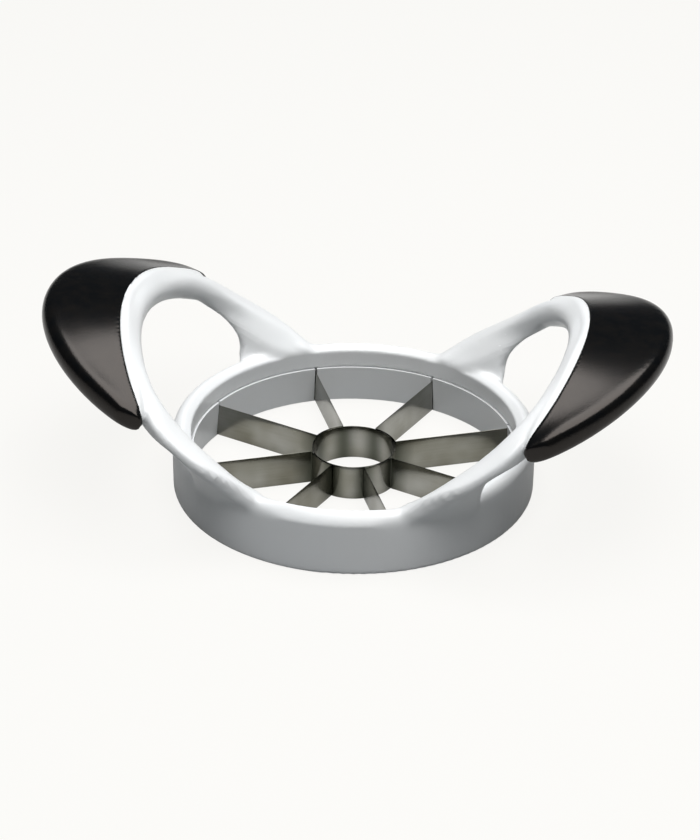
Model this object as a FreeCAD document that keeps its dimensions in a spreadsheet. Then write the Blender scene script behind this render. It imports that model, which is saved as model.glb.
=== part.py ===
import FreeCAD, Part
import math
import os
import Sketcher

# Apple slicer: a round white frame with two upswept wing handles, a ring that
# carries four bent double blades round a corer tube, and two soft grips.
# Origin: centre of the ring on the plane it stands on. +X along the handles,
# +Z up. Right and left are +X and -X. Millimetres and degrees.

os.makedirs("parts", exist_ok=True)
doc = FreeCAD.newDocument("apple_slicer")
sheet = doc.addObject("Spreadsheet::Sheet", "sizes")

SIZES = {
    # round frame
    "ring_radius": 54.0,
    "ring_height": 19.4,
    "lip_wide": 5.7,
    "mouth_slope_wide": 2.2,
    "mouth_slope_drop": 1.6,
    "rim_outer_round": 3.4,
    "rim_inner_round": 0.5,
    "skirt_wall": 3.0,
    "foot_round": 0.8,
    # ring that carries the blades, inside the skirt and under the lip
    "ledge_wide": 0.5,
    "ledge_rise": 1.2,
    "bore_draft": 1.2,
    "carrier_bottom": 0.3,
    "fit_gap": 0.1,
    # snap beads in a groove, which keep the carrier up against the lip
    "bead_depth": 0.5,
    "bead_root": 0.5,
    "bead_tall": 0.8,
    "bead_bottom": 5.0,
    "bead_angle": 24.0,
    # blades and corer
    "blade_thick": 0.5,
    "blade_tall": 10.5,
    "blade_bottom": 0.5,
    "blade_end_wall": 0.9,
    "blade_half_angle": 22.5,
    "bend_radius": 1.6,
    "corer_radius": 12.6,
    "corer_wall": 0.7,
    "corer_below": 0.3,
    "weld_gap": 0.04,
    # loop band stations, from inside the rim, front or back, to the crown at the end.
    # A share is part of the ring's radius, and a lift is the height over the ring's top.
    "band_round_share": 0.36,
    "sunk_x_share": 0.241, "sunk_y_share": 0.863, "sunk_lift": -10.2,
    "sunk_turn": 90.0, "sunk_tilt": 0.0, "sunk_rise_angle": 36.0,
    "sunk_wide": 6.0, "sunk_tall": 4.6,
    "root_x_share": 0.417, "root_y_share": 0.85, "root_lift": -1.6,
    "root_turn": 90.0, "root_tilt": 0.0, "root_rise_angle": 37.0,
    "root_wide": 6.8, "root_tall": 5.0,
    "knee_x_share": 0.62, "knee_y_share": 0.872, "knee_lift": 6.5,
    "knee_turn": 90.0, "knee_tilt": -1.0, "knee_rise_angle": 37.0,
    "knee_wide": 7.4, "knee_tall": 5.0,
    "arm_x_share": 0.798, "arm_y_share": 0.833, "arm_lift": 13.8,
    "arm_turn": 80.0, "arm_tilt": -8.0, "arm_rise_angle": 35.0, "arm_wide": 9.8, "arm_tall": 3.8,
    "shoulder_x_share": 0.978, "shoulder_y_share": 0.719, "shoulder_lift": 20.7,
    "shoulder_turn": 48.0, "shoulder_tilt": -10.0, "shoulder_rise_angle": 36.0,
    "shoulder_wide": 7.8, "shoulder_tall": 7.6,
    "brow_x_share": 1.148, "brow_y_share": 0.426, "brow_lift": 28.7,
    "brow_turn": 20.0, "brow_tilt": 16.0, "brow_rise_angle": 18.0,
    "brow_wide": 7.8, "brow_tall": 8.4,
    "crown_x_share": 1.219, "crown_y_share": 0.0, "crown_lift": 32.1,
    "crown_turn": 0.0, "crown_tilt": 18.0, "crown_rise_angle": 0.0,
    "crown_wide": 8.0, "crown_tall": 8.6,
    "web_deep": 8.0,
    # grips: stations along Y, from the middle of the end outwards
    "grip_thick": 7.6,
    "grip_thin": 5.2,
    "end_y_share": 0.0, "end_in_share": 1.194, "end_out_share": 1.7,
    "end_lift": 34.7, "end_tilt": 1.0,
    "lobe_y_share": 0.25, "lobe_in_share": 1.157, "lobe_out_share": 1.667,
    "lobe_lift": 33.7, "lobe_tilt": 2.0,
    "side_y_share": 0.472, "side_in_share": 1.102, "side_out_share": 1.57,
    "side_lift": 30.7, "side_tilt": 5.0,
    "flank_y_share": 0.657, "flank_in_share": 1.028, "flank_out_share": 1.422,
    "flank_lift": 26.5, "flank_tilt": 10.0,
    "heel_y_share": 0.787, "heel_in_share": 0.991, "heel_out_share": 1.259,
    "heel_lift": 22.9, "heel_tilt": 18.0,
    "tip_y_share": 0.863, "tip_in_share": 0.991, "tip_out_share": 1.12,
    "tip_lift": 20.7, "tip_tilt": 24.0,
    # seam between frame and grip: an arc in plan
    "seam_radius_share": 1.502,
    "seam_end_share": 1.252,
    # white tongue inside each grip
    "grip_skin": 2.3,
    "tongue_reach": 12.0,
}
# Web that carries each arm up from the rim. At each station: x, then the share and lift
# of its section's corners. Where no low corner is given, it lies in the skirt's wall.
WEB_STATIONS = {
    "heelweb": {
        "x": 0.3, "foot": (0.711, -10.8), "side": (0.907, -4.4),
        "top": (0.831, -2.9), "crease": (0.713, -9.8),
    },
    "midweb": {
        "x": 0.611, "foot": (0.702, -4.9), "side": (0.907, 3.1),
        "top": (0.813, 9.1), "crease": (0.706, 2.3),
    },
    "endweb": {
        "x": 0.759, "foot": (0.663, -2.0), "side": (0.893, 8.8),
        "top": (0.778, 13.9), "crease": (0.713, 8.9),
    },
    "lapweb": {
        "x": 0.789, "foot": (0.691, 5.3), "low": (0.722, 5.8), "side": (0.889, 10.2),
        "top": (0.769, 14.8), "crease": (0.719, 9.6),
    },
    "bendweb": {
        "x": 0.841, "foot": (0.707, 8.8), "low": (0.769, 9.9), "side": (0.88, 12.6),
        "top": (0.75, 16.4), "crease": (0.713, 11.3),
    },
    "fadeweb": {
        "x": 0.917, "foot": (0.694, 13.0), "low": (0.759, 12.8), "side": (0.833, 15.3),
        "top": (0.722, 19.1), "crease": (0.685, 14.4),
    },
    "tailweb": {
        "x": 0.991, "foot": (0.685, 15.8), "low": (0.731, 15.8), "side": (0.778, 17.3),
        "top": (0.704, 20.1), "crease": (0.676, 16.8),
    },
}
for station, corners in WEB_STATIONS.items():
    for part, place in corners.items():
        if part == "x":
            SIZES[f"{station}_x_share"] = place
        else:
            SIZES[f"{station}_{part}_share"], SIZES[f"{station}_{part}_lift"] = place

for row, (alias, value) in enumerate(SIZES.items(), start=1):
    sheet.set(f"A{row}", alias)
    sheet.set(f"B{row}", str(value))
    sheet.setAlias(f"B{row}", alias)
doc.recompute()


def size(expression):
    """Value of an expression over the sheet's cells, in millimetres or degrees."""
    value = sheet.evalExpression(expression)
    return float(getattr(value, "Value", value))


def placed(feature, x="0", y="0", z="0", yaw="0", pitch="0", roll="0"):
    """Bind a feature's placement to expressions over the sheet."""
    base = f"create(<<vector>>; {x}; {y}; {z})"
    turn = f"create(<<rotation>>; {yaw}; {pitch}; {roll})"
    feature.setExpression("Placement", f"create(<<placement>>; {base}; {turn})")
    return feature


def share(word):
    """A plan place given as part of the ring's radius."""
    return f"(sizes.ring_radius * sizes.{word}_share)"


def lift(word):
    """A height given from the ring's top."""
    return f"(sizes.ring_height + sizes.{word}_lift)"


def polygon_sketch(name, corners):
    """Closed sketch through corners, each given as two expressions and fixed by them."""
    sketch = doc.addObject("Sketcher::SketchObject", name)
    points = [FreeCAD.Vector(size(u), size(v), 0) for u, v in corners]
    count = len(points)
    for i, point in enumerate(points):
        sketch.addGeometry(Part.LineSegment(point, points[(i + 1) % count]), False)
    for i in range(count):
        sketch.addConstraint(Sketcher.Constraint("Coincident", i, 2, (i + 1) % count, 1))
    for i, (u, v) in enumerate(corners):
        for kind, axis, expression in (("DistanceX", -2, u), ("DistanceY", -1, v)):
            value = size(expression)
            if abs(value) < 1e-9:
                sketch.addConstraint(Sketcher.Constraint("PointOnObject", i, 1, axis))
                continue
            index = sketch.addConstraint(Sketcher.Constraint(kind, -1, 1, i, 1, value))
            sketch.setExpression(f"Constraints[{index}]", expression)
    return sketch


def rounded_sketch(name, wide, tall, corner):
    """Rounded rectangle centred on its origin, its width, height and corner bound."""
    sketch = doc.addObject("Sketcher::SketchObject", name)
    a, b, r = size(wide) / 2, size(tall) / 2, size(corner)
    vec = FreeCAD.Vector
    ends = [
        (vec(a, -b + r, 0), vec(a, b - r, 0)),
        (vec(a - r, b, 0), vec(-a + r, b, 0)),
        (vec(-a, b - r, 0), vec(-a, -b + r, 0)),
        (vec(-a + r, -b, 0), vec(a - r, -b, 0)),
    ]
    centres = [vec(a - r, b - r, 0), vec(-a + r, b - r, 0), vec(-a + r, -b + r, 0), vec(a - r, -b + r, 0)]
    for i in range(4):
        sketch.addGeometry(Part.LineSegment(*ends[i]), False)
        circle = Part.Circle(centres[i], vec(0, 0, 1), r)
        start = i * math.pi / 2
        sketch.addGeometry(Part.ArcOfCircle(circle, start, start + math.pi / 2), False)
    for i in range(4):
        line, arc, following = 2 * i, 2 * i + 1, (2 * i + 2) % 8
        sketch.addConstraint(Sketcher.Constraint("Tangent", line, 2, arc, 1))
        sketch.addConstraint(Sketcher.Constraint("Tangent", arc, 2, following, 1))
        sketch.addConstraint(Sketcher.Constraint("Vertical" if i % 2 == 0 else "Horizontal", line))
    for arc in (3, 5, 7):
        sketch.addConstraint(Sketcher.Constraint("Equal", 1, arc))
    sketch.addConstraint(Sketcher.Constraint("Symmetric", 1, 3, 5, 3, -1, 1))
    for kind, first, second, expression in (
        ("DistanceX", (4, 1), (0, 1), wide),
        ("DistanceY", (6, 1), (2, 1), tall),
    ):
        constraint = Sketcher.Constraint(kind, *first, *second, size(expression))
        index = sketch.addConstraint(constraint)
        sketch.setExpression(f"Constraints[{index}]", expression)
    index = sketch.addConstraint(Sketcher.Constraint("Radius", 1, r))
    sketch.setExpression(f"Constraints[{index}]", corner)
    return sketch


def loft(name, sections, ruled=False):
    feature = doc.addObject("Part::Loft", name)
    feature.Sections = sections
    feature.Solid = True
    feature.Ruled = ruled
    return feature


def revolved(name, sketch, angle="360"):
    """Turn a sketch whose X is the radius and Y the height about the ring's axis."""
    placed(sketch, roll="90")
    feature = doc.addObject("Part::Revolution", name)
    feature.Source = sketch
    feature.Axis = FreeCAD.Vector(0, 0, 1)
    feature.Base = FreeCAD.Vector(0, 0, 0)
    feature.Solid = True
    feature.setExpression("Angle", angle)
    return feature


def fused(name, shapes):
    feature = doc.addObject("Part::MultiFuse", name)
    feature.Shapes = shapes
    return feature


def cut(name, base, tool):
    feature = doc.addObject("Part::Cut", name)
    feature.Base = base
    feature.Tool = tool
    return feature


def mirrored(name, source, normal):
    feature = doc.addObject("Part::Mirroring", name)
    feature.Source = source
    feature.Base = FreeCAD.Vector(0, 0, 0)
    feature.Normal = FreeCAD.Vector(*normal)
    return feature


def box(name, length, width, height, **where):
    feature = doc.addObject("Part::Box", name)
    feature.setExpression("Length", length)
    feature.setExpression("Width", width)
    feature.setExpression("Height", height)
    return placed(feature, **where)


# Frame: skirt and rim, turned from one section

skirt_inside = "sizes.ring_radius - sizes.skirt_wall"
mouth_radius = "(sizes.ring_radius - sizes.lip_wide)"
mouth_top = "(sizes.ring_height - sizes.mouth_slope_drop)"
blade_top = "(sizes.blade_bottom + sizes.blade_tall)"
carrier_top = f"({blade_top} + sizes.ledge_rise)"
lip = f"({carrier_top} + sizes.fit_gap)"
skirt_profile = polygon_sketch("skirt_profile", [
    (skirt_inside, "0"),
    ("sizes.ring_radius", "0"),
    ("sizes.ring_radius", "sizes.ring_height"),
    (f"{mouth_radius} + sizes.mouth_slope_wide", "sizes.ring_height"),
    (mouth_radius, mouth_top),
    (mouth_radius, lip),
    (skirt_inside, lip),
])
skirt = revolved("skirt", skirt_profile)
doc.recompute()


def circle_edges(shape, radius, height):
    """Edge numbers of the circles of this radius at this height."""
    found = []
    for number, edge in enumerate(shape.Edges, start=1):
        round_edge = isinstance(edge.Curve, Part.Circle)
        if not round_edge or abs(edge.Curve.Radius - size(radius)) > 0.01:
            continue
        if abs(edge.BoundBox.ZMin - size(height)) < 0.01 and edge.BoundBox.ZLength < 0.01:
            found.append(number)
    return found


def rounded(name, source, picks):
    """Fillet the circles named as (radius, height, fillet)."""
    feature = doc.addObject("Part::Fillet", name)
    feature.Base = source
    feature.Edges = [
        (number, size(fillet), size(fillet))
        for radius, height, fillet in picks
        for number in circle_edges(source.Shape, radius, height)
    ]
    return feature


skirt_rounded = rounded("skirt_rounded", skirt, [
    ("sizes.ring_radius", "sizes.ring_height", "sizes.rim_outer_round"),
    (mouth_radius, mouth_top, "sizes.rim_inner_round"),
    ("sizes.ring_radius", "0", "sizes.foot_round"),
])

beads = []
for quarter in range(4):
    bead_top = "sizes.bead_bottom + sizes.bead_tall"
    profile = polygon_sketch(f"bead_profile_{quarter + 1}", [
        (skirt_inside + " + sizes.bead_root", "sizes.bead_bottom"),
        (skirt_inside + " + sizes.bead_root", bead_top),
        (skirt_inside + " - sizes.bead_depth", bead_top),
        (skirt_inside, "sizes.bead_bottom"),
    ])
    bead = revolved(f"bead_{quarter + 1}", profile, "sizes.bead_angle")
    beads.append(placed(bead, yaw=f"{90 * quarter + 45} - sizes.bead_angle / 2"))

# Frame: wing loops

STATIONS = ["sunk", "root", "knee", "arm", "shoulder", "brow", "crown"]


def band_section(station, side):
    """Section of the loop's band at a station; side is 1 behind and -1 in front."""
    word = "back" if side > 0 else "front"
    sign = "" if side > 0 else "-"
    tall = f"sizes.{station}_tall"
    sketch = rounded_sketch(
        f"{station}_{word}", f"sizes.{station}_wide", tall, f"{tall} * sizes.band_round_share"
    )
    return placed(
        sketch,
        x=share(f"{station}_x"),
        y=f"{sign}1 * {share(f'{station}_y')}",
        z=lift(station),
        yaw=f"{sign}sizes.{station}_turn",
        pitch=f"-sizes.{station}_tilt",
        roll=f"90 - sizes.{station}_rise_angle * {side}",
    )


front_half = [band_section(station, -1) for station in STATIONS]
back_half = [band_section(station, 1) for station in STATIONS[:-1]]
right_loop = loft("right_loop", front_half + back_half[::-1])
left_loop = mirrored("left_loop", right_loop, (1, 0, 0))


def web_section(station, side):
    """Section of an arm's web across X, from the skirt up into the band."""
    word = "back" if side > 0 else "front"
    sign = "" if side > 0 else "-"

    def corner(part):
        return f"{sign}1 * {share(f'{station}_{part}')}", lift(f"{station}_{part}")

    if "low" in WEB_STATIONS[station]:
        low = corner("low")
    else:
        middle = "(sizes.ring_radius - sizes.skirt_wall / 2)"
        wall = f"sqrt(pow({middle}; 2) - pow({share(f'{station}_x')}; 2))"
        low = (f"{sign}1 * {wall}", "sizes.ring_height - sizes.web_deep")
    sketch = polygon_sketch(f"{station}_{word}", [
        corner("foot"), low, corner("side"), corner("top"), corner("crease"),
    ])
    return placed(sketch, x=share(f"{station}_x"), yaw="90", roll="90")


webs = []
for side in (-1, 1):
    word = "back" if side > 0 else "front"
    web = loft(f"web_{word}", [web_section(station, side) for station in WEB_STATIONS], ruled=True)
    webs.append(web)
    webs.append(mirrored(f"web_{word}_left", web, (1, 0, 0)))

wings = fused("wings", [right_loop, left_loop, *webs])
mouth_space = doc.addObject("Part::Cylinder", "mouth_space")
mouth_space.setExpression("Radius", mouth_radius)
mouth_space.setExpression("Height", "2 * sizes.ring_height")
carrier_space = doc.addObject("Part::Cylinder", "carrier_space")
carrier_space.setExpression("Radius", skirt_inside)
carrier_space.setExpression("Height", lip)
clear_wings = cut("clear_wings", wings, fused("ring_space", [mouth_space, carrier_space]))

# Grips and the tongues they are moulded round

GRIP_STATIONS = ["end", "lobe", "side", "flank", "heel", "tip"]


def leaf_section(name, station, side, inset, thick):
    """Section of a grip, or of its tongue where inset is above zero, across X."""
    inner = share(f"{station}_in")
    outer = f"{share(f'{station}_out')} - {inset}"
    sign = "" if side > 0 else "-"
    sketch = rounded_sketch(name, f"{outer} - {inner}", thick, f"({thick}) * 0.46")
    return placed(
        sketch,
        x=f"({inner} + {outer}) / 2",
        y=f"{sign}1 * {share(f'{station}_y')}",
        z=lift(station),
        pitch=f"-sizes.{station}_tilt",
        roll="90",
    )


def leaf(name, stations, inset, thick_of):
    """Loft through leaf sections from the front tip over the end to the back tip."""
    front = [leaf_section(f"{name}_{s}_front", s, -1, inset, thick_of(s)) for s in stations]
    back = [leaf_section(f"{name}_{s}_back", s, 1, inset, thick_of(s)) for s in stations[1:]]
    return loft(name, front[::-1] + back)


def grip_thickness(station):
    return "sizes.grip_thin" if station == "tip" else "sizes.grip_thick"


grip_blank = leaf("grip_blank", GRIP_STATIONS, "0", grip_thickness)
tongue = leaf(
    "tongue", GRIP_STATIONS[:4], "sizes.tongue_reach",
    lambda station: "sizes.grip_thick - 2 * sizes.grip_skin",
)
left_tongue = mirrored("left_tongue", tongue, (1, 0, 0))
left_grip_blank = mirrored("left_grip_blank", grip_blank, (1, 0, 0))

inside_seam = doc.addObject("Part::Cylinder", "inside_seam")
inside_seam.setExpression("Radius", share("seam_radius"))
inside_seam.setExpression("Height", f"2 * {lift('end')}")
placed(inside_seam, x=f"{share('seam_end')} - {share('seam_radius')}")
collar = doc.addObject("Part::Common", "collar")
collar.Base = grip_blank
collar.Tool = inside_seam
doc.recompute()
left_collar = mirrored("left_collar", collar, (1, 0, 0))

frame = fused("frame", [
    skirt_rounded, *beads, clear_wings,
    collar, left_collar, tongue, left_tongue,
])
right_grip = cut("right_grip", grip_blank, frame)
left_grip = cut("left_grip", left_grip_blank, frame)

# Blade carrier

carrier_outside = f"({skirt_inside} - sizes.fit_gap)"
carrier_bore = f"({mouth_radius} - sizes.ledge_wide)"
blade_reach = f"({carrier_outside} - sizes.blade_end_wall)"
groove_floor = f"{carrier_outside} - sizes.bead_depth"
groove_low = "sizes.bead_bottom - sizes.fit_gap"
groove_high = "sizes.bead_bottom + sizes.bead_tall + sizes.fit_gap"
carrier_blank = revolved("carrier_blank", polygon_sketch("carrier_profile", [
    (f"{carrier_bore} + sizes.bore_draft", "sizes.carrier_bottom"),
    (carrier_outside, "sizes.carrier_bottom"),
    (carrier_outside, groove_low),
    (groove_floor, groove_low),
    (groove_floor, groove_high),
    (carrier_outside, groove_high),
    (carrier_outside, carrier_top),
    (carrier_bore, carrier_top),
]))
slot_wide = "(sizes.blade_thick + 2 * sizes.fit_gap)"
slot_floor = "(sizes.blade_bottom - sizes.fit_gap)"
slot_inner = f"({carrier_bore} - sizes.skirt_wall)"
slots = []
for count in range(8):
    angle = f"sizes.blade_half_angle + {45 * count}"
    slots.append(box(
        f"blade_slot_{count + 1}",
        f"{blade_reach} + sizes.fit_gap - {slot_inner}",
        slot_wide,
        f"{carrier_top} - {slot_floor} + sizes.skirt_wall",
        x=f"{slot_inner} * cos({angle}) + {slot_wide} / 2 * sin({angle})",
        y=f"{slot_inner} * sin({angle}) - {slot_wide} / 2 * cos({angle})",
        z=slot_floor,
        yaw=angle,
    ))
blade_ring = cut("blade_ring", carrier_blank, fused("blade_slots", slots))

# Corer tube

corer_bottom = "sizes.blade_bottom - sizes.corer_below"
corer_tube = revolved("corer_tube", polygon_sketch("corer_profile", [
    ("sizes.corer_radius - sizes.corer_wall", corer_bottom),
    ("sizes.corer_radius", corer_bottom),
    ("sizes.corer_radius", blade_top),
    ("sizes.corer_radius - sizes.corer_wall", blade_top),
]))

# Blade strips: each is one strip bent round a quarter of the corer

hug_radius = "(sizes.corer_radius + sizes.weld_gap + sizes.blade_thick / 2)"
bend = "sizes.bend_radius"


def strip_path(name):
    """Open line-arc-arc-arc-line path of one strip, symmetric about its own X."""
    sketch = doc.addObject("Sketcher::SketchObject", name)
    hug, round_, half = size(hug_radius), size(bend), math.radians(size("sizes.blade_half_angle"))
    reach = size(blade_reach)
    lean = math.asin(round_ / (hug + round_))
    root = (hug + round_) * math.cos(lean)
    vec = FreeCAD.Vector

    def polar(radius, angle):
        return vec(radius * math.cos(angle), radius * math.sin(angle), 0)

    def bend_arc(side):
        centre = polar(hug + round_, side * (half - lean))
        on_line = polar(root, side * half) - centre
        on_hug = polar(hug, side * (half - lean)) - centre
        angles = sorted(
            [math.atan2(on_line.y, on_line.x), math.atan2(on_hug.y, on_hug.x)],
            reverse=False,
        )
        if angles[1] - angles[0] > math.pi:
            angles = [angles[1], angles[0] + 2 * math.pi]
        return Part.ArcOfCircle(Part.Circle(centre, vec(0, 0, 1), round_), *angles)

    sketch.addGeometry(Part.LineSegment(polar(reach, half), polar(root, half)), False)
    sketch.addGeometry(bend_arc(1), False)
    hug_circle = Part.Circle(vec(0, 0, 0), vec(0, 0, 1), hug)
    sketch.addGeometry(Part.ArcOfCircle(hug_circle, -(half - lean), half - lean), False)
    sketch.addGeometry(bend_arc(-1), False)
    sketch.addGeometry(Part.LineSegment(polar(root, -half), polar(reach, -half)), False)
    return sketch


def near(sketch, geometry, point):
    """Which end of a sketch edge lies at a point: 1 for its start, 2 for its end."""
    start = sketch.Geometry[geometry].StartPoint
    return 1 if start.distanceToPoint(point) < 1e-6 else 2


def bound_strip_path(name):
    """The strip's path with its joints tangent and its sizes bound."""
    sketch = strip_path(name)
    joints = [
        (0, 1, sketch.Geometry[0].EndPoint),
        (1, 2, sketch.Geometry[2].EndPoint),
        (2, 3, sketch.Geometry[2].StartPoint),
        (3, 4, sketch.Geometry[4].StartPoint),
    ]
    for first, second, point in joints:
        ends = near(sketch, first, point), near(sketch, second, point)
        sketch.addConstraint(Sketcher.Constraint("Tangent", first, ends[0], second, ends[1]))
    sketch.addConstraint(Sketcher.Constraint("Coincident", 2, 3, -1, 1))
    for line in (0, 4):
        sketch.addConstraint(Sketcher.Constraint("PointOnObject", -1, 1, line))
    for kind, geometry, expression in (
        ("Radius", 2, hug_radius),
        ("Radius", 1, bend),
        ("Radius", 3, bend),
    ):
        index = sketch.addConstraint(Sketcher.Constraint(kind, geometry, size(expression)))
        sketch.setExpression(f"Constraints[{index}]", expression)
    for geometry, end, sign in ((0, 1, ""), (4, 2, "-")):
        across = f"{blade_reach} * cos(sizes.blade_half_angle)"
        along = f"{sign}{blade_reach} * sin(sizes.blade_half_angle)"
        for kind, expression in (("DistanceX", across), ("DistanceY", along)):
            constraint = Sketcher.Constraint(kind, -1, 1, geometry, end, size(expression))
            index = sketch.addConstraint(constraint)
            sketch.setExpression(f"Constraints[{index}]", expression)
    return sketch


strips = []
for quarter in range(4):
    number = quarter + 1
    turn = f"{45 + 90 * quarter}"
    path = placed(
        bound_strip_path(f"strip_path_{number}"),
        z="sizes.blade_bottom + sizes.blade_tall / 2",
        yaw=turn,
    )
    half_thick, half_tall = "sizes.blade_thick / 2", "sizes.blade_tall / 2"
    section = placed(
        polygon_sketch(f"strip_section_{number}", [
            (f"-{half_thick}", f"-{half_tall}"),
            (half_thick, f"-{half_tall}"),
            (half_thick, half_tall),
            (f"-{half_thick}", half_tall),
        ]),
        x=f"{blade_reach} * cos(sizes.blade_half_angle + {turn})",
        y=f"{blade_reach} * sin(sizes.blade_half_angle + {turn})",
        z="sizes.blade_bottom + sizes.blade_tall / 2",
        yaw=f"sizes.blade_half_angle + {turn} + 90",
        roll="90",
    )
    strip = doc.addObject("Part::Sweep", f"blade_strip_{number}")
    strip.Sections = [section]
    strip.Spine = (path, [f"Edge{i + 1}" for i in range(5)])
    strip.Solid = True
    strip.Frenet = False
    strips.append(strip)

# Export

doc.recompute()
nodes = [frame, blade_ring, corer_tube, *strips, left_grip, right_grip]
for feature in doc.Objects:
    if "Invalid" in feature.State or "Error" in feature.State:
        raise RuntimeError(f"{feature.Label} has state {feature.State}")
for node in nodes:
    shape = node.Shape
    if shape.isNull() or not shape.isValid():
        raise RuntimeError(f"{node.Label} has no valid shape")
    print(node.Label, "solids", len(shape.Solids), "volume", round(shape.Volume / 1000, 2), "cm3")
    shape.exportStep(os.path.join("parts", node.Label + ".step"))
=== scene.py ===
import math

import bmesh
import bpy
import numpy as np
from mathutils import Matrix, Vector


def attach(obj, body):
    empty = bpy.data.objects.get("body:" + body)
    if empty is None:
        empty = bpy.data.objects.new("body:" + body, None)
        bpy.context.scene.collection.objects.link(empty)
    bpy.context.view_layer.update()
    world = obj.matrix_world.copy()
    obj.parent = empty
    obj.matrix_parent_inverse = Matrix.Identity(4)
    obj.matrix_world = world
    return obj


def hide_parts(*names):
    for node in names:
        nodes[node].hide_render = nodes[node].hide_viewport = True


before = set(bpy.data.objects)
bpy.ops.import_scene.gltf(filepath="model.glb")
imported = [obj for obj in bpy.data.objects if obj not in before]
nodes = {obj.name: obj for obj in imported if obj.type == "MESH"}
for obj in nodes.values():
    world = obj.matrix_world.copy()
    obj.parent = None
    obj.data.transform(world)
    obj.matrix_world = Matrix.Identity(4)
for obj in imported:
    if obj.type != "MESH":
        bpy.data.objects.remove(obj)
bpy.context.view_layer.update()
print("frame loaded", sorted(nodes))


# objects and meshes

def addObject(name, data):
    added = bpy.data.objects.new(name, data)
    bpy.context.scene.collection.objects.link(added)
    return added


def finishPiece(name, mesh, material, slot, *stoodFor):
    piece = addObject(name, mesh)
    mesh.materials.clear()
    mesh.materials.append(material)
    for face in mesh.polygons:
        face.use_smooth = True
        face.material_index = 0
    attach(piece, "root")
    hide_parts(*stoodFor)
    print("made", name, len(mesh.polygons), "faces")


def plainMesh(worker, name):
    # what the worker's modifiers make of it, as a mesh of its own; the worker goes
    bpy.context.view_layer.update()
    shown = worker.evaluated_get(bpy.context.evaluated_depsgraph_get())
    mesh = bpy.data.meshes.new_from_object(shown)
    mesh.name = name
    bpy.data.objects.remove(worker)
    return mesh


def mergePoints(mesh, reach, turnOutwards=False):
    merged = bmesh.new()
    merged.from_mesh(mesh)
    bmesh.ops.remove_doubles(merged, verts=merged.verts, dist=reach)
    if turnOutwards:
        bmesh.ops.recalc_face_normals(merged, faces=merged.faces)
    merged.to_mesh(mesh)
    merged.free()


def readPoints(mesh):
    spots = np.empty(len(mesh.vertices) * 3)
    mesh.vertices.foreach_get("co", spots)
    return spots.reshape(-1, 3)


def writePoints(mesh, spots):
    mesh.vertices.foreach_set("co", spots.ravel())
    mesh.update()


def edgeEnds(mesh):
    ends = np.empty(len(mesh.edges) * 2, int)
    mesh.edges.foreach_get("vertices", ends)
    return ends.reshape(-1, 2).T


def softStep(values, low, high):
    t = np.clip((values - low) / (high - low), 0, 1)
    return t * t * (3 - 2 * t)


skin = {
    "cadMerge": 2e-6,            # points of the node's triangles that are closer become one
    "voxel": 0.00045,
    "evenPasses": 6,
    "evenSteps": (0.5, -0.52),   # the second step gives back what the first one shrinks
    "softSteps": (0.5,),
}


def relaxMesh(mesh, weights, passes, steps, share=None):
    # moves each point towards the mean of its neighbours, in which every edge has its share
    spots = readPoints(mesh)
    count = len(spots)
    first, second = edgeEnds(mesh)
    if share is None:
        share = np.ones(len(first))
    total = np.bincount(first, share, count) + np.bincount(second, share, count)
    for _ in range(passes):
        for step in steps:
            for axis in range(3):
                values = spots[:, axis]
                around = np.bincount(first, share * values[second], count)
                around += np.bincount(second, share * values[first], count)
                spots[:, axis] = values + step * weights * (around / total - values)
    writePoints(mesh, spots)


def remeshedCopy(nodeName):
    # a node rebuilt as an even closed skin
    source = nodes[nodeName].data.copy()
    mergePoints(source, skin["cadMerge"])
    worker = addObject("workPiece", source)
    remesh = worker.modifiers.new("evenSkin", "REMESH")
    remesh.mode = "VOXEL"
    remesh.voxel_size = skin["voxel"]
    remesh.use_smooth_shade = True
    return plainMesh(worker, nodeName + "Skin")


def thinnedMesh(mesh, triangles):
    # collapses the flattest edges until this many triangles are left
    count = sum(len(face.vertices) - 2 for face in mesh.polygons)
    worker = addObject("workPiece", mesh)
    fewer = worker.modifiers.new("fewer", "DECIMATE")
    fewer.ratio = min(1.0, triangles / count)
    return plainMesh(worker, mesh.name)


# node trees

def addNode(tree, kind, wires=None, **settings):
    # wires join inputs to other nodes' outputs, settings starting with in_ are plain values
    node = tree.nodes.new(kind)
    for key, value in settings.items():
        if key.startswith("in_"):
            node.inputs[key[3:].replace("_", " ")].default_value = value
        else:
            setattr(node, key, value)
    for key, output in (wires or {}).items():
        tree.links.new(output, node.inputs[key])
    return node


def mathOf(tree, operation, *values):
    node = addNode(tree, "ShaderNodeMath", operation=operation)
    for socket, value in zip(node.inputs, values):
        if isinstance(value, (int, float)):
            socket.default_value = value
        else:
            tree.links.new(value, socket)
    return node.outputs[0]


def noiseOf(tree, vector, scale, detail, roughness):
    noise = addNode(
        tree, "ShaderNodeTexNoise", {"Vector": vector},
        in_Scale=scale, in_Detail=detail, in_Roughness=roughness)
    return noise.outputs["Fac"]


def rampOf(tree, factor, first, *others):
    ramp = addNode(tree, "ShaderNodeValToRGB", {"Fac": factor})
    stops = ramp.color_ramp.elements
    stops[0].position, stops[0].color = first
    stops[1].position, stops[1].color = others[-1]
    for position, colour in others[:-1]:
        stops.new(position).color = colour
    return ramp.outputs["Color"]


def spreadOf(tree, factor, low, high, start=0.0, end=1.0):
    spread = addNode(
        tree, "ShaderNodeMapRange", {"Value": factor},
        in_From_Min=start, in_From_Max=end, in_To_Min=low, in_To_Max=high)
    return spread.outputs["Result"]


def bumpOf(tree, height, distance, strength):
    bump = addNode(
        tree, "ShaderNodeBump", {"Height": height}, in_Distance=distance, in_Strength=strength)
    return bump.outputs["Normal"]


# materials; a noise is its scale per metre, its detail and its roughness

def newMaterial(name):
    material = bpy.data.materials.new(name)
    material.use_nodes = True
    return material, material.node_tree, material.node_tree.nodes["Principled BSDF"]


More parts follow.
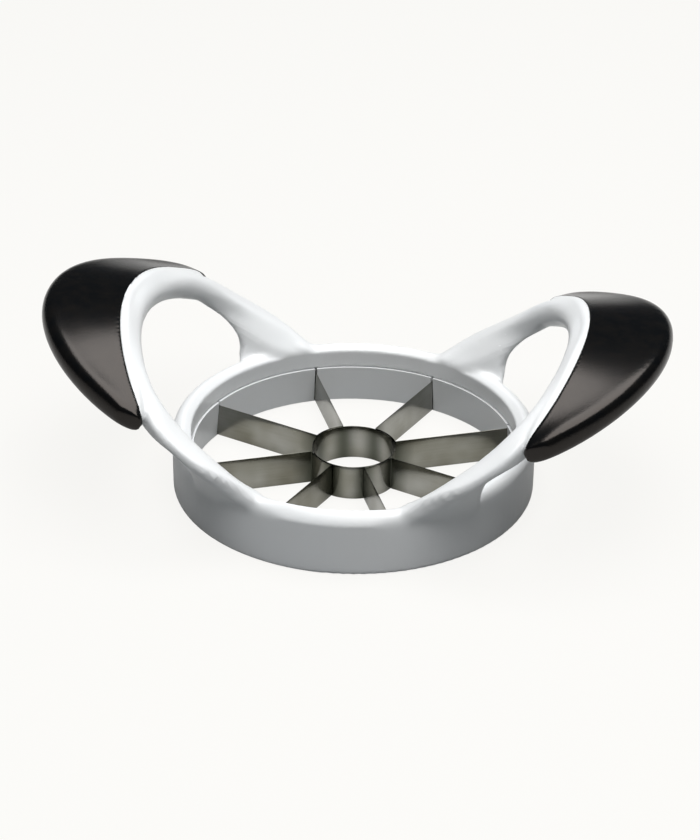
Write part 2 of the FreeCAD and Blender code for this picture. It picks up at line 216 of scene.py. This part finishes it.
whiteMoulding = {
    "colourNoise": (26.0, 2.0, 0.5),
    "colours": ((0.35, (0.785, 0.803, 0.812, 1)), (0.75, (0.775, 0.785, 0.785, 1))),
    "sheenNoise": (60.0, 4.0, 0.6),
    "sheen": (0.26, 0.36),
    "peelNoise": (900.0, 2.0, 0.5),   # moulded skin, about a millimetre across
    "peelDepth": 0.00003, "peelStrength": 0.35,
    "index": 1.5,
    "glossTint": (1, 1, 1, 1),
}

gripRubber = {
    "colourNoise": (240.0, 4.0, 0.65),
    "colours": ((0.4, (0.0024, 0.003, 0.0036, 1)), (0.75, (0.006, 0.0055, 0.005, 1))),
    "sheenNoise": (70.0, 3.0, 0.5),
    "sheen": (0.17, 0.25),
    "peelNoise": (2000.0, 2.0, 0.5),
    "peelDepth": 0.00005, "peelStrength": 0.5,
    "index": 1.39,
    "glossTint": (1.0, 0.9, 0.83, 1),
}


def mouldedSkin(name, look):
    material, tree, shader = newMaterial(name)
    place = addNode(tree, "ShaderNodeTexCoord").outputs["Object"]
    drift = noiseOf(tree, place, *look["colourNoise"])
    smudge = noiseOf(tree, place, *look["sheenNoise"])
    peel = noiseOf(tree, place, *look["peelNoise"])
    normal = bumpOf(tree, peel, look["peelDepth"], look["peelStrength"])
    tree.links.new(rampOf(tree, drift, *look["colours"]), shader.inputs["Base Color"])
    tree.links.new(spreadOf(tree, smudge, *look["sheen"]), shader.inputs["Roughness"])
    tree.links.new(normal, shader.inputs["Normal"])
    shader.inputs["Specular Tint"].default_value = look["glossTint"]
    shader.inputs["IOR"].default_value = look["index"]
    return material


bladeMetal = {
    "grainStretch": (60.0, 60.0, 5200.0),   # close lines across the strip, long ones along it
    "grainNoise": (1.0, 4.0, 0.6),
    "grainDepth": 0.00002, "grainStrength": 0.5,
    "cloudNoise": (70.0, 2.0, 0.5),
    "cloudShare": 0.8,
    "colours": (
        (0.26, (0.13, 0.123, 0.092, 1)),
        (0.5, (0.235, 0.232, 0.2, 1)),
        (0.74, (0.34, 0.34, 0.32, 1)),
    ),
    "sheen": (0.12, 0.22),
    "paintedShade": (0.055, 0.06, 0.045, 1),   # painted shade: steel darkened beside the joints, where the wedges between legs and corer lie in shade
    "paintedShadeAmount": 0.85,
    "paintedShadeReach": (0.0134, 0.019),
    "legs": 8,
}


def paintedJointShade(tree, place, look):
    # painted shade of the wedges between legs and corer: strongest where the legs meet the corer,
    # gone further out and between them
    parts = addNode(tree, "ShaderNodeSeparateXYZ", {"Vector": place})
    x, y = parts.outputs["X"], parts.outputs["Y"]
    squares = [mathOf(tree, "MULTIPLY", side, side) for side in (x, y)]
    radius = mathOf(tree, "SQRT", mathOf(tree, "ADD", *squares))
    turns = mathOf(tree, "MULTIPLY", mathOf(tree, "ARCTAN2", y, x), look["legs"])
    atLegs = mathOf(tree, "MULTIPLY_ADD", mathOf(tree, "COSINE", turns), -0.5, 0.5)
    fade = spreadOf(tree, radius, look["paintedShadeAmount"], 0.0, *look["paintedShadeReach"])
    return mathOf(tree, "MULTIPLY", atLegs, fade)


def brushedSteel(name, look):
    material, tree, shader = newMaterial(name)
    grain = addNode(tree, "ShaderNodeAttribute", attribute_name="grain").outputs["Vector"]
    stretch = addNode(
        tree, "ShaderNodeMapping", {"Vector": grain}, in_Scale=look["grainStretch"])
    lines = noiseOf(tree, stretch.outputs["Vector"], *look["grainNoise"])
    place = addNode(tree, "ShaderNodeTexCoord").outputs["Object"]
    cloud = noiseOf(tree, place, *look["cloudNoise"])
    streaks = addNode(
        tree, "ShaderNodeMix", {"A": lines, "B": cloud},
        data_type="FLOAT", in_Factor=look["cloudShare"])
    colour = rampOf(tree, streaks.outputs["Result"], *look["colours"])
    # the steel's colour with the painted shade beside the joints mixed in
    withPaintedShade = addNode(
        tree, "ShaderNodeMix", {"Factor": paintedJointShade(tree, place, look), "A": colour},
        data_type="RGBA", in_B=look["paintedShade"])
    normal = bumpOf(tree, lines, look["grainDepth"], look["grainStrength"])
    tree.links.new(withPaintedShade.outputs["Result"], shader.inputs["Base Color"])
    tree.links.new(spreadOf(tree, lines, *look["sheen"]), shader.inputs["Roughness"])
    tree.links.new(normal, shader.inputs["Normal"])
    shader.inputs["Metallic"].default_value = 1.0
    return material


mouldingWhite = mouldedSkin("mouldingWhite", whiteMoulding)
steel = brushedSteel("bladeSteel", bladeMetal)
rubber = mouldedSkin("gripRubber", gripRubber)
print("materials made")


# seam between frame and grips: an arc in plan at each end

seam = {
    "centre": -0.01352,
    "radius": 0.08111,
    "snap": (0.0003, 0.00066),   # points this close go onto the arc, the nearest ones fully
}


def seamReach(spots):
    side = np.sign(spots[:, 0])
    across = spots[:, 0] * side - seam["centre"]
    return side, across, np.hypot(across, spots[:, 1])


def seamDistance(spots):
    return seamReach(spots)[2] - seam["radius"]


def snapSeam(mesh):
    # the two skins meet in a clean line
    spots = readPoints(mesh)
    side, across, reach = seamReach(spots)
    gap = reach - seam["radius"]
    pull = gap * (1 - softStep(np.abs(gap), *seam["snap"]))
    spots[:, 0] -= side * pull * across / reach
    spots[:, 1] -= pull * spots[:, 1] / reach
    writePoints(mesh, spots)


# frame: ring, arms and webs as one moulding
# a pair of lengths is where a change starts and where it is complete

frameBody = {
    "triangles": 186000,
    "seamKeep": (0.0022, 0.0055),     # beside the seam nothing is rounded
    # ring's upper edge
    "rimCentre": (0.0506, 0.016),     # of its rounding, out from the axis and up
    "rimRound": 0.0034,
    "rimSkin": (0.0002, 0.0007),
    "rimPower": 1.3,                  # 2 is a plain rounding, 1 a plain bevel
    "rimEnds": (0.012, 0.023),        # the bevel fades out before it reaches the arms
    # corners where arms, webs and rim meet
    "blendPasses": 34,
    "blendHeight": (0.0115, 0.0145),
    "blendSide": (0.012, 0.018),
    "armHeight": (0.0195, 0.0215),
    "openSide": (0.019, 0.024),
    "mouthRadius": 0.0483,
    "mouthKeep": (0.0006, 0.0012),    # the edge round the mouth stays crisp
    "rootMiddle": 0.0235,             # but for where the arms rise from it
    "rootSide": (0.004, 0.009),
    "rootHeight": (0.0175, 0.019),
    # arms
    "flowPasses": 150,
    "flowRun": (0.58, -0.62, 0.52),   # how an arm runs, mirrored into each quarter
    "flowPower": 4,                   # how much edges along the run count above others
    "flowLeast": 1e-4,
    "flowHeight": (0.0185, 0.0225),
    "flowSide": (0.018, 0.024),
}


def bevelRim(mesh):
    # turns the rounding at the ring's upper edge into a softened bevel
    size = frameBody
    spots = readPoints(mesh)
    radius = np.hypot(spots[:, 0], spots[:, 1])
    centre, level = size["rimCentre"]
    out, up = radius - centre, spots[:, 2] - level
    reach = np.maximum(np.hypot(out, up), 1e-6)   # never 0, since it divides
    power = size["rimPower"]
    corner = (np.abs(out / reach) ** power + np.abs(up / reach) ** power) ** (-1 / power)
    onRim = 1 - softStep(np.abs(reach - size["rimRound"]), *size["rimSkin"])
    onRim[(out < 0) | (up < 0)] = 0
    onRim *= 1 - softStep(np.abs(spots[:, 0]), *size["rimEnds"])
    stretch = 1 + (corner - 1) * onRim
    wider = np.where(onRim > 0, (centre + out * stretch) / radius, 1)
    spots[:, 0] *= wider
    spots[:, 1] *= wider
    spots[:, 2] = np.where(onRim > 0, level + up * stretch, spots[:, 2])
    writePoints(mesh, spots)


def offSeam(spots):
    return softStep(np.abs(seamDistance(spots)), *frameBody["seamKeep"])


def blendShare(spots):
    # leaves the ring's open sides alone, and the mouth's edge between the arms
    size = frameBody
    across, along, height = np.abs(spots[:, 0]), np.abs(spots[:, 1]), spots[:, 2]
    mouth = np.abs(np.hypot(spots[:, 0], spots[:, 1]) - size["mouthRadius"])
    root = 1 - softStep(np.abs(across - size["rootMiddle"]), *size["rootSide"])
    root *= softStep(height, *size["rootHeight"])
    ring = np.maximum(softStep(mouth, *size["mouthKeep"]), root)
    ring *= softStep(along, *size["openSide"])
    high = softStep(height, *size["blendHeight"])
    beside = softStep(across, *size["blendSide"])
    return high * beside * offSeam(spots) * np.maximum(softStep(height, *size["armHeight"]), ring)


def flowArms(mesh):
    # evens the arms out along their run only, so their sections keep their size
    size = frameBody
    spots = readPoints(mesh)
    first, second = edgeEnds(mesh)
    run, middle = spots[second] - spots[first], spots[second] + spots[first]
    way = np.array(size["flowRun"]) * np.sign(middle * (1, 1, 0) + (0, 0, 1))
    along = np.einsum("ij,ij->i", run, way) / np.linalg.norm(run, axis=1)
    share = along ** size["flowPower"] + size["flowLeast"]
    weights = softStep(spots[:, 2], *size["flowHeight"]) * offSeam(spots)
    weights *= softStep(np.abs(spots[:, 0]), *size["flowSide"])
    relaxMesh(mesh, weights, size["flowPasses"], skin["softSteps"], share)


def makeFrame():
    size = frameBody
    mesh = remeshedCopy("frame")
    relaxMesh(mesh, 1, skin["evenPasses"], skin["evenSteps"])
    bevelRim(mesh)
    relaxMesh(mesh, blendShare(readPoints(mesh)), size["blendPasses"], skin["softSteps"])
    flowArms(mesh)
    snapSeam(mesh)
    mesh = thinnedMesh(mesh, size["triangles"])
    finishPiece("frameBody", mesh, mouldingWhite, "white_plastic", "frame")


makeFrame()


# grips

gripBody = {
    "softPasses": 30,
    "seamKeep": (0.0012, 0.0036),
}


def makeGrip(nodeName, pieceName):
    size = gripBody
    mesh = remeshedCopy(nodeName)
    weights = softStep(seamDistance(readPoints(mesh)), *size["seamKeep"])
    relaxMesh(mesh, 1, skin["evenPasses"], skin["evenSteps"])
    relaxMesh(mesh, weights, size["softPasses"], skin["softSteps"])
    snapSeam(mesh)
    finishPiece(pieceName, mesh, rubber, "grip_rubber", nodeName)


makeGrip("left_grip", "leftGrip")
makeGrip("right_grip", "rightGrip")


# ring that carries the blades, shown as it was built

ringMesh = nodes["blade_ring"].data
ringMesh.materials.clear()
ringMesh.materials.append(mouldingWhite)


# steel: blades and corer are strips that follow a path

stripForm = {
    "cornerRadius": 0.00018,
    "cornerPoints": 3,
    "cuts": 9,               # extra points on each side of the section
    "merge": 1e-7,
    "creaseAngle": 18,       # flat sides stay flat up to the rounded edges
}


def buildStripTree():
    # a strip along a path: upright section, its lower edge ground thin
    tree = bpy.data.node_groups.new("steelStrip", "GeometryNodeTree")
    face = tree.interface
    face.new_socket("Path", in_out="INPUT", socket_type="NodeSocketGeometry")
    for name in ("Thickness", "Height", "Middle", "Ground Height", "Ground Edge", "Turn"):
        face.new_socket(name, in_out="INPUT", socket_type="NodeSocketFloat")
    face.new_socket("Strip", in_out="OUTPUT", socket_type="NodeSocketGeometry")
    given = addNode(tree, "NodeGroupInput").outputs

    sides = {"Width": given["Thickness"], "Height": given["Height"]}
    section = addNode(tree, "GeometryNodeCurvePrimitiveQuadrilateral", sides)
    corner = addNode(
        tree, "GeometryNodeFilletCurve", {"Curve": section.outputs["Curve"]},
        mode="POLY", in_Radius=stripForm["cornerRadius"], in_Count=stripForm["cornerPoints"])
    finer = addNode(
        tree, "GeometryNodeSubdivideCurve", {"Curve": corner.outputs["Curve"]},
        in_Cuts=stripForm["cuts"])

    # the section gets thinner towards its lower edge
    position = addNode(tree, "GeometryNodeInputPosition").outputs["Position"]
    place = addNode(tree, "ShaderNodeSeparateXYZ", {"Vector": position}).outputs
    lowest = mathOf(tree, "MULTIPLY", given["Height"], -0.5)
    groundTop = mathOf(tree, "ADD", lowest, given["Ground Height"])
    taper = addNode(tree, "ShaderNodeMapRange", {
        "Value": place["Y"],
        "From Min": lowest,
        "From Max": groundTop,
        "To Min": given["Ground Edge"],
    }, in_To_Max=1.0)
    thinner = mathOf(tree, "MULTIPLY", place["X"], taper.outputs["Result"])
    moved = addNode(tree, "ShaderNodeCombineXYZ", {"X": thinner, "Y": place["Y"]})
    ground = addNode(tree, "GeometryNodeSetPosition", {
        "Geometry": finer.outputs["Curve"],
        "Position": moved.outputs["Vector"],
    })

    # the distance along the path goes with the mesh, for the grain
    keep = addNode(tree, "GeometryNodeCaptureAttribute")
    keep.capture_items.new("FLOAT", "Along")
    tree.links.new(given["Path"], keep.inputs["Geometry"])
    length = addNode(tree, "GeometryNodeSplineParameter").outputs["Length"]
    tree.links.new(length, keep.inputs["Along"])
    upright = addNode(
        tree, "GeometryNodeSetCurveNormal", {"Curve": keep.outputs["Geometry"]}, mode="Z_UP")
    sweep = addNode(tree, "GeometryNodeCurveToMesh", {
        "Curve": upright.outputs["Curve"],
        "Profile Curve": ground.outputs["Geometry"],
    }, in_Fill_Caps=True)
    height = addNode(tree, "ShaderNodeSeparateXYZ", {"Vector": position}).outputs["Z"]
    grain = addNode(tree, "ShaderNodeCombineXYZ", {"X": keep.outputs["Along"], "Z": height})
    store = addNode(tree, "GeometryNodeStoreNamedAttribute", {
        "Geometry": sweep.outputs["Mesh"],
        "Value": grain.outputs["Vector"],
    }, data_type="FLOAT_VECTOR", in_Name="grain")

    lift = addNode(tree, "ShaderNodeCombineXYZ", {"Z": given["Middle"]})
    swing = addNode(tree, "ShaderNodeCombineXYZ", {"Z": given["Turn"]})
    move = addNode(tree, "GeometryNodeTransform", {
        "Geometry": store.outputs["Geometry"],
        "Translation": lift.outputs["Vector"],
        "Rotation": swing.outputs["Vector"],
    })
    addNode(tree, "NodeGroupOutput", {"Strip": move.outputs["Geometry"]})
    return tree


stripTree = buildStripTree()


def pathCurve(name, points, closed):
    curve = bpy.data.curves.new(name, "CURVE")
    curve.dimensions = "3D"
    spline = curve.splines.new("POLY")
    spline.points.add(len(points) - 1)
    for point, (x, y) in zip(spline.points, points):
        point.co = (x, y, 0, 1)
    spline.use_cyclic_u = closed
    return curve


def makeStrip(name, node, points, closed, size, turn=0.0):
    worker = addObject("workPath", pathCurve(name, points, closed))
    modifier = worker.modifiers.new("strip", "NODES")
    modifier.node_group = stripTree
    values = {
        "Thickness": size["thick"],
        "Height": size["top"] - size["bottom"],
        "Middle": (size["top"] + size["bottom"]) / 2,
        "Ground Height": size["groundHeight"],
        "Ground Edge": size["groundEdge"],
        "Turn": turn,
    }
    for item in stripTree.interface.items_tree:
        if item.name in values:
            modifier[item.identifier] = values[item.name]
    mesh = plainMesh(worker, name)
    mergePoints(mesh, stripForm["merge"], turnOutwards=True)
    finishPiece(name, mesh, steel, "blade_steel", node)
    mesh.set_sharp_from_angle(angle=math.radians(stripForm["creaseAngle"]))


def arcPoints(centre, radius, start, end, count):
    angles = np.linspace(start, end, count)
    x, y = centre
    return [(x + radius * math.cos(a), y + radius * math.sin(a)) for a in angles]


bladeStrip = {
    "count": 4,
    "thick": 0.0004,
    "bottom": 0.0005,
    "top": 0.011,
    "reach": 0.05,
    "halfAngle": 22.5,       # from the strip's middle line to each leg
    "hugRadius": 0.01284,    # middle of the strip where it lies on the corer
    "bendRadius": 0.0003,
    "groundHeight": 0.0014,
    "groundEdge": 0.35,      # part of the thickness that is left at the lower edge
    "legSteps": 12,
    "bendPoints": 9,
    "hugPoints": 12,
}


def bladePath(size):
    # one leg in, round a quarter of the corer and out along the other leg
    hug, bend, half = size["hugRadius"], size["bendRadius"], math.radians(size["halfAngle"])
    lean = math.asin(bend / (hug + bend))
    root = (hug + bend) * math.cos(lean)
    middle = half - lean
    side = []
    for step in range(size["legSteps"] + 1):
        radius = size["reach"] + (root - size["reach"]) * step / size["legSteps"]
        side.append((radius * math.cos(half), radius * math.sin(half)))
    centre = ((hug + bend) * math.cos(middle), (hug + bend) * math.sin(middle))
    start, end = half + math.pi / 2, middle + math.pi
    side += arcPoints(centre, bend, start, end, size["bendPoints"])[1:]
    side += arcPoints((0, 0), hug, middle, 0, size["hugPoints"])[1:]
    return side + [(x, -y) for x, y in reversed(side[:-1])]


spacing = 360 / bladeStrip["count"]
for number in range(bladeStrip["count"]):
    makeStrip(
        f"bladeStrip{number + 1}", f"blade_strip_{number + 1}", bladePath(bladeStrip), False,
        bladeStrip, math.radians(spacing / 2 + spacing * number))


corerTube = {
    "radius": 0.0126,
    "thick": 0.0005,
    "bottom": 0.0002,
    "top": 0.011,
    "groundHeight": 0.0016,
    "groundEdge": 0.4,
    "around": 96,
}


def makeCorer():
    size = corerTube
    middle = size["radius"] - size["thick"] / 2
    points = arcPoints((0, 0), middle, 0, 2 * math.pi, size["around"] + 1)[:-1]
    makeStrip("corerTube", "corer_tube", points, True, size)


makeCorer()


# stage, light and camera

stage = {
    "floorHalf": 2.5,
    "floorHeight": -0.0001,  # just under the ring's foot
    "floorTone": (0.2, 0.209, 0.213, 1),
    "paleTone": (0.985, 0.978, 0.955, 1),
    "shadedTone": (0.63, 0.626, 0.612, 1),
    "shadowShare": 0.1,      # how much of the object's shadow shows on the floor
    "glossShadow": 0.8,      # the same in reflections
    "surroundTone": (0.03, 0.032, 0.035, 1),
    "haze": (0.02, 0.05),    # the backdrop fades from pale to dark between these heights
}


def mixedOf(tree, factor, first, second):
    mixed = addNode(tree, "ShaderNodeMixShader", {"Fac": factor, 1: first, 2: second})
    return mixed.outputs["Shader"]


def seenDirectly(tree, shown, lit):
    # the camera, gloss and glass see the pale tone, soft bounces see the lit surface
    rays = addNode(tree, "ShaderNodeLightPath").outputs
    glossy = mathOf(tree, "MAXIMUM", rays["Is Glossy Ray"], rays["Is Transmission Ray"])
    direct = mathOf(tree, "MAXIMUM", rays["Is Camera Ray"], glossy)
    return mixedOf(tree, direct, lit, shown)


def makeFloor():
    half, low = stage["floorHalf"], stage["floorHeight"]
    mesh = bpy.data.meshes.new("floorMesh")
    corners = [(-half, -half, low), (half, -half, low), (half, half, low), (-half, half, low)]
    mesh.from_pydata(corners, [], [(0, 1, 2, 3)])
    material, tree, shader = newMaterial("paleFloor")
    tree.nodes.remove(shader)
    lit = addNode(tree, "ShaderNodeBsdfDiffuse", in_Color=stage["floorTone"]).outputs[0]
    pale = addNode(tree, "ShaderNodeEmission", in_Color=stage["paleTone"]).outputs[0]
    shaded = addNode(tree, "ShaderNodeBsdfDiffuse", in_Color=stage["shadedTone"]).outputs[0]
    byCamera = addNode(tree, "ShaderNodeLightPath").outputs["Is Camera Ray"]
    share = spreadOf(tree, byCamera, stage["glossShadow"], stage["shadowShare"])
    surface = seenDirectly(tree, mixedOf(tree, share, pale, shaded), lit)
    tree.links.new(surface, tree.nodes["Material Output"].inputs["Surface"])
    mesh.materials.append(material)
    floor = addObject("floor", mesh)


def makeSurround():
    world = bpy.data.worlds.new("surround")
    world.use_nodes = True
    tree = world.node_tree
    tree.nodes.clear()
    lit = addNode(tree, "ShaderNodeBackground", in_Color=stage["surroundTone"]).outputs[0]
    way = addNode(tree, "ShaderNodeTexCoord").outputs["Generated"]
    height = addNode(tree, "ShaderNodeSeparateXYZ", {"Vector": way}).outputs["Z"]
    farFloor = [tone * (1 - stage["shadowShare"]) for tone in stage["paleTone"][:3]] + [1]
    low, high = stage["haze"]
    haze = rampOf(tree, height, (low, farFloor), (high, stage["surroundTone"]))
    shown = addNode(tree, "ShaderNodeBackground", {"Color": haze}).outputs[0]
    addNode(tree, "ShaderNodeOutputWorld", {"Surface": seenDirectly(tree, shown, lit)})
    bpy.context.scene.world = world


softbox = {
    "spot": (0.1, -0.1, 0.9),
    "aim": (0.1, -0.1, 0),
    "wide": 0.8,
    "deep": 1.1,
    "power": 15.0,
}


def makeSoftbox():
    look = softbox
    lamp = bpy.data.lights.new("overhead", "AREA")
    lamp.shape = "RECTANGLE"
    lamp.size, lamp.size_y, lamp.energy = look["wide"], look["deep"], look["power"]
    holder = addObject("overhead", lamp)
    holder.location = look["spot"]
    aim = Vector(look["aim"]) - Vector(look["spot"])
    holder.rotation_euler = aim.to_track_quat("-Z", "Y").to_euler()


cameraPlace = {
    "spot": (0.085509, -0.624234, 0.373536),
    "turn": (60.6287, -0.6002, 8.2463),
    "lens": 104.225,
    "sensor": 36.0,
    "shiftUp": 0.00357,
    "nearest": 0.05,
    "farthest": 20.0,
}


def makeCamera():
    look = cameraPlace
    data = bpy.data.cameras.new("studioCamera")
    data.lens, data.sensor_width, data.shift_y = look["lens"], look["sensor"], look["shiftUp"]
    data.clip_start, data.clip_end = look["nearest"], look["farthest"]
    camera = addObject("studioCamera", data)
    camera.location = look["spot"]
    camera.rotation_euler = [math.radians(angle) for angle in look["turn"]]
    bpy.context.scene.camera = camera


makeFloor()
makeSurround()
makeSoftbox()
makeCamera()
bpy.context.scene.view_settings.view_transform = "Standard"
print("stage, light and camera made")
